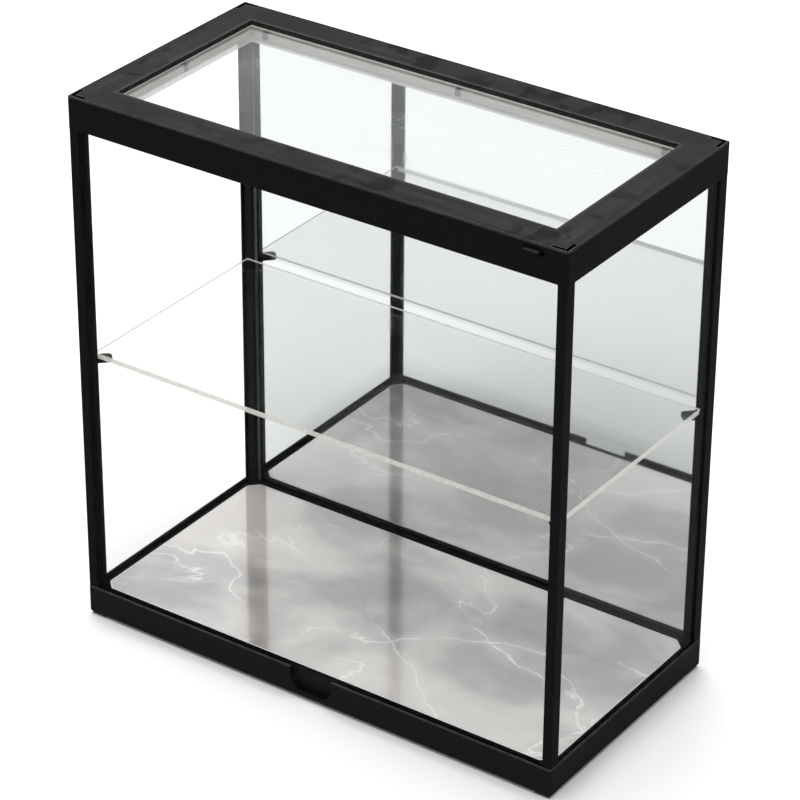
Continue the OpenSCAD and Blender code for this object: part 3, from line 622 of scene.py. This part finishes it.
class CASE_OT_marble_floor(bpy.types.Operator):
    """Make the glossy marble floor with its polished edge"""
    bl_idname = "display_case.marble_floor"
    bl_label = "Marble floor"

    def execute(self, context):
        settings = context.scene.case_marble
        edged_sheet("floor_panel", "floor_sheet", "case", context.scene.case_sheet.floor_bevel, 2,
                    marble("marble_print", settings), polished_edge("marble_edge"))
        return {"FINISHED"}


class CASE_OT_light_ring(bpy.types.Operator):
    """Finish the frosted strips, their clips and the lights behind them"""
    bl_idname = "display_case.light_ring"
    bl_label = "Light ring"

    def execute(self, context):
        settings = context.scene.case_light
        show(DIFFUSER_NODES, frosted_plastic("frosted_strip", settings))
        show(["diffuser_clips"], plain_finish("clip_plastic", (0.2, 0.2, 0.21), (0.3, 0.3, 0.31), 0.5, 400.0))
        show(STRIP_NODES, plain_finish("strip_film", (0.7, 0.7, 0.68), (0.85, 0.85, 0.83), 0.4, 250.0))
        phosphor = tuple(settings.phosphor)
        show(["led_chips"], plain_finish("chip_resin", tuple(0.85 * c for c in phosphor), phosphor, 0.3, 900.0))
        return {"FINISHED"}


class CASE_OT_electrics(bpy.types.Operator):
    """Finish the board, the wires, the inlet and the screws"""
    bl_idname = "display_case.electrics"
    bl_label = "Electrics and screws"

    def execute(self, context):
        show(["control_board"], plain_finish("board_mask", (0.012, 0.09, 0.04), (0.02, 0.14, 0.06), 0.35, 500.0))
        show(WIRE_NODES, plain_finish("wire_sleeve", (0.26, 0.02, 0.02), (0.36, 0.04, 0.035), 0.5, 600.0))
        show(SCREW_NODES, plain_finish("screw_steel", (0.48, 0.48, 0.49), (0.62, 0.62, 0.63), 0.35, 500.0, 1.0))
        return {"FINISHED"}


class CASE_OT_stage(bpy.types.Operator):
    """Set up the pale floor, the soft light and the camera"""
    bl_idname = "display_case.stage"
    bl_label = "Studio stage"

    def execute(self, context):
        settings = context.scene.case_stage
        self.make_floor(context, settings)
        self.make_light(context, settings)
        self.make_camera(context, settings)
        context.scene.view_settings.view_transform = "Standard"
        return {"FINISHED"}

    @staticmethod
    def make_floor(context, settings):
        mesh = bpy.data.meshes.new("studio_floor")
        bm = bmesh.new()
        bmesh.ops.create_grid(bm, x_segments=8, y_segments=8, size=FLOOR_REACH)
        bm.to_mesh(mesh)
        bm.free()
        floor = bpy.data.objects.new("studio_floor", mesh)
        context.scene.collection.objects.link(floor)
        f = Finish("studio_floor")
        tone = f.noise(f.place, 3.0, 2.0)
        colour = f.mix_colour(tone, tuple(0.99 * c for c in settings.floor_colour), tuple(settings.floor_colour))
        x, y = f.split(f.place)[:2]
        seen = f.node("ShaderNodeLightPath", None, None, "Is Camera Ray")
        far = ((x ** 2.0 + y ** 2.0) ** 0.5).ease(WHITE_FROM, WHITE_TO) * seen
        glow = f.mix_colour(far, (0.0, 0.0, 0.0), (0.5, 0.5, 0.5))
        mesh.materials.append(f.done(f.principled(Base_Color=colour, Roughness=0.9, Specular_IOR_Level=0.1,
                                                  Emission_Color=glow, Emission_Strength=1.0)))

    @staticmethod
    def make_light(context, settings):
        world = bpy.data.worlds.new("studio")
        world.use_nodes = True
        context.scene.world = world
        sky = NodeTree(world.node_tree)
        path = [sky.node("ShaderNodeLightPath", None, None, name)
                for name in ("Is Camera Ray", "Is Glossy Ray", "Is Transmission Ray")]
        seen = path[0].most(path[1]).most(path[2])
        strength = settings.sky + (1.0 - settings.sky) * seen
        backdrop = sky.node("ShaderNodeBackground", None, {"Color": (1.0, 1.0, 1.0, 1.0), "Strength": strength})
        sky.node("ShaderNodeOutputWorld", None, {"Surface": backdrop})
        lamp = bpy.data.lights.new("overhead", "AREA")
        lamp.shape = "RECTANGLE"
        lamp.size = lamp.size_y = LAMP_SIDE
        lamp.energy = settings.lamp
        placed = bpy.data.objects.new("overhead", lamp)
        # The lamp lights the case but isn't mirrored in it
        placed.visible_glossy = False
        placed.location = LAMP_PLACE
        placed.rotation_euler = (LAMP_AIM - LAMP_PLACE).to_track_quat("-Z", "Y").to_euler()
        context.scene.collection.objects.link(placed)

    @staticmethod
    def make_camera(context, settings):
        az, el = settings.azimuth, settings.elevation
        back = Vector((math.sin(az) * math.cos(el), -math.cos(az) * math.cos(el), math.sin(el)))
        right = (-back).cross(Vector((0.0, 0.0, 1.0))).normalized()
        up = right.cross(-back)
        c, s = math.cos(settings.roll), math.sin(settings.roll)
        right, up = c * right + s * up, c * up - s * right
        data = bpy.data.cameras.new("camera")
        data.sensor_width = 36.0
        data.lens = settings.lens
        data.clip_end = 50.0
        camera = bpy.data.objects.new("camera", data)
        place = CAMERA_AIM + back * settings.distance - right * CAMERA_ASIDE.x - up * CAMERA_ASIDE.y
        camera.matrix_world = Matrix((
            (right.x, up.x, back.x, place.x),
            (right.y, up.y, back.y, place.y),
            (right.z, up.z, back.z, place.z),
            (0.0, 0.0, 0.0, 1.0)))
        context.scene.collection.objects.link(camera)
        context.scene.camera = camera


OPERATORS = [CASE_OT_mouldings, CASE_OT_clear_sheets, CASE_OT_mirror, CASE_OT_marble_floor, CASE_OT_light_ring,
             CASE_OT_electrics, CASE_OT_stage]


class CASE_PT_panel(bpy.types.Panel):
    """Settings and steps of the display case"""
    bl_idname = "CASE_PT_panel"
    bl_label = "Display case"
    bl_space_type = "VIEW_3D"
    bl_region_type = "UI"
    bl_category = "Display case"

    def draw(self, context):
        for group, kind in SETTINGS.items():
            box = self.layout.box()
            for key in kind.__annotations__:
                box.prop(getattr(context.scene, group), key)
        for operator in OPERATORS:
            self.layout.operator(operator.bl_idname)


def register():
    for kind in (*SETTINGS.values(), *OPERATORS, CASE_PT_panel):
        bpy.utils.register_class(kind)
    for group, kind in SETTINGS.items():
        setattr(bpy.types.Scene, group, PointerProperty(type=kind))


def unregister():
    for group in SETTINGS:
        delattr(bpy.types.Scene, group)
    for kind in (CASE_PT_panel, *reversed(OPERATORS), *reversed(list(SETTINGS.values()))):
        bpy.utils.unregister_class(kind)


def main():
    register()
    for step in ("mouldings", "clear_sheets", "mirror", "marble_floor", "light_ring", "electrics", "stage"):
        getattr(bpy.ops.display_case, step)()


if __name__ == "__main__":
    main()
